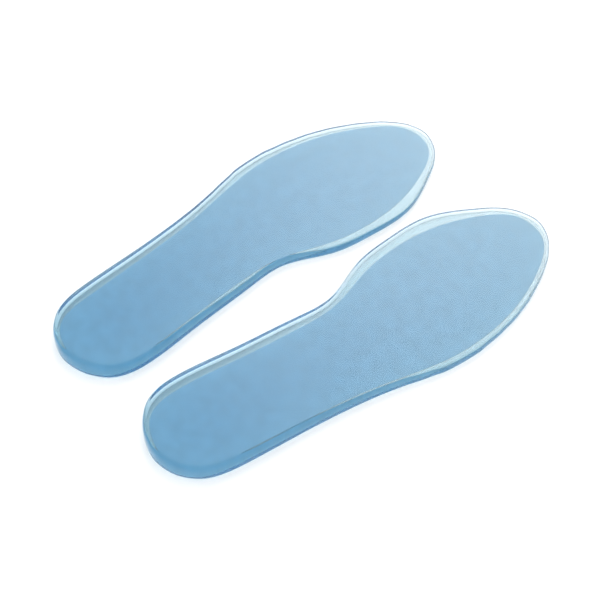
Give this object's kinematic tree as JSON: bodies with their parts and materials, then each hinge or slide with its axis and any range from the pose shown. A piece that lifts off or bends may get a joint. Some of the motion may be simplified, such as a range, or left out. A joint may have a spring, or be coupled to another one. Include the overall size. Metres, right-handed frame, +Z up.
{
  "type": "insole pair",
  "caption": "Pair of wedge-shaped cushioned gel insoles with a clear rim around a blue backing, bending at the ball of the foot.",
  "frame": {"origin": "middle of the pair's footprint, on the surface the insoles lie on", "axes": "+Z up from the underside to the foot, +Y from heel to toe, +X from the left insole to the right one"},
  "size_m": [0.1848, 0.2634, 0.0104],
  "materials": {
    "gel": "clear pale-blue gel, glossy and slightly wavy",
    "backing": "satin blue sheet",
    "base_film": "clear glossy film"
  },
  "bodies": {
    "left_rearfoot": {"left_gel_rearfoot": "gel", "left_backing_rearfoot": "backing", "left_base_film_rearfoot": "base_film"},
    "left_forefoot": {"left_gel_forefoot": "gel", "left_backing_forefoot": "backing", "left_base_film_forefoot": "base_film"},
    "right_rearfoot": {"right_gel_rearfoot": "gel", "right_backing_rearfoot": "backing", "right_base_film_rearfoot": "base_film"},
    "right_forefoot": {"right_gel_forefoot": "gel", "right_backing_forefoot": "backing", "right_base_film_forefoot": "base_film"}
  },
  "joints": [
    {"name": "left_ball_flex", "type": "hinge", "parent": "left_rearfoot", "child": "left_forefoot", "pos_m": [-0.04484, 0.03986, 0.00575], "axis": [0.9724, 0.2334, -0.0058], "range_deg": [0, 50], "stiffness_Nm_per_rad": 0.03},
    {"name": "right_insole_lift", "type": "slide", "parent": "left_rearfoot", "child": "right_rearfoot", "axis": [0, 0, 1], "range_m": [0, 0.12]},
    {"name": "right_ball_flex", "type": "hinge", "parent": "right_rearfoot", "child": "right_forefoot", "pos_m": [0.04484, 0.04336, 0.00575], "axis": [0.9724, -0.2334, 0.0058], "range_deg": [0, 50], "stiffness_Nm_per_rad": 0.03}
  ]
}
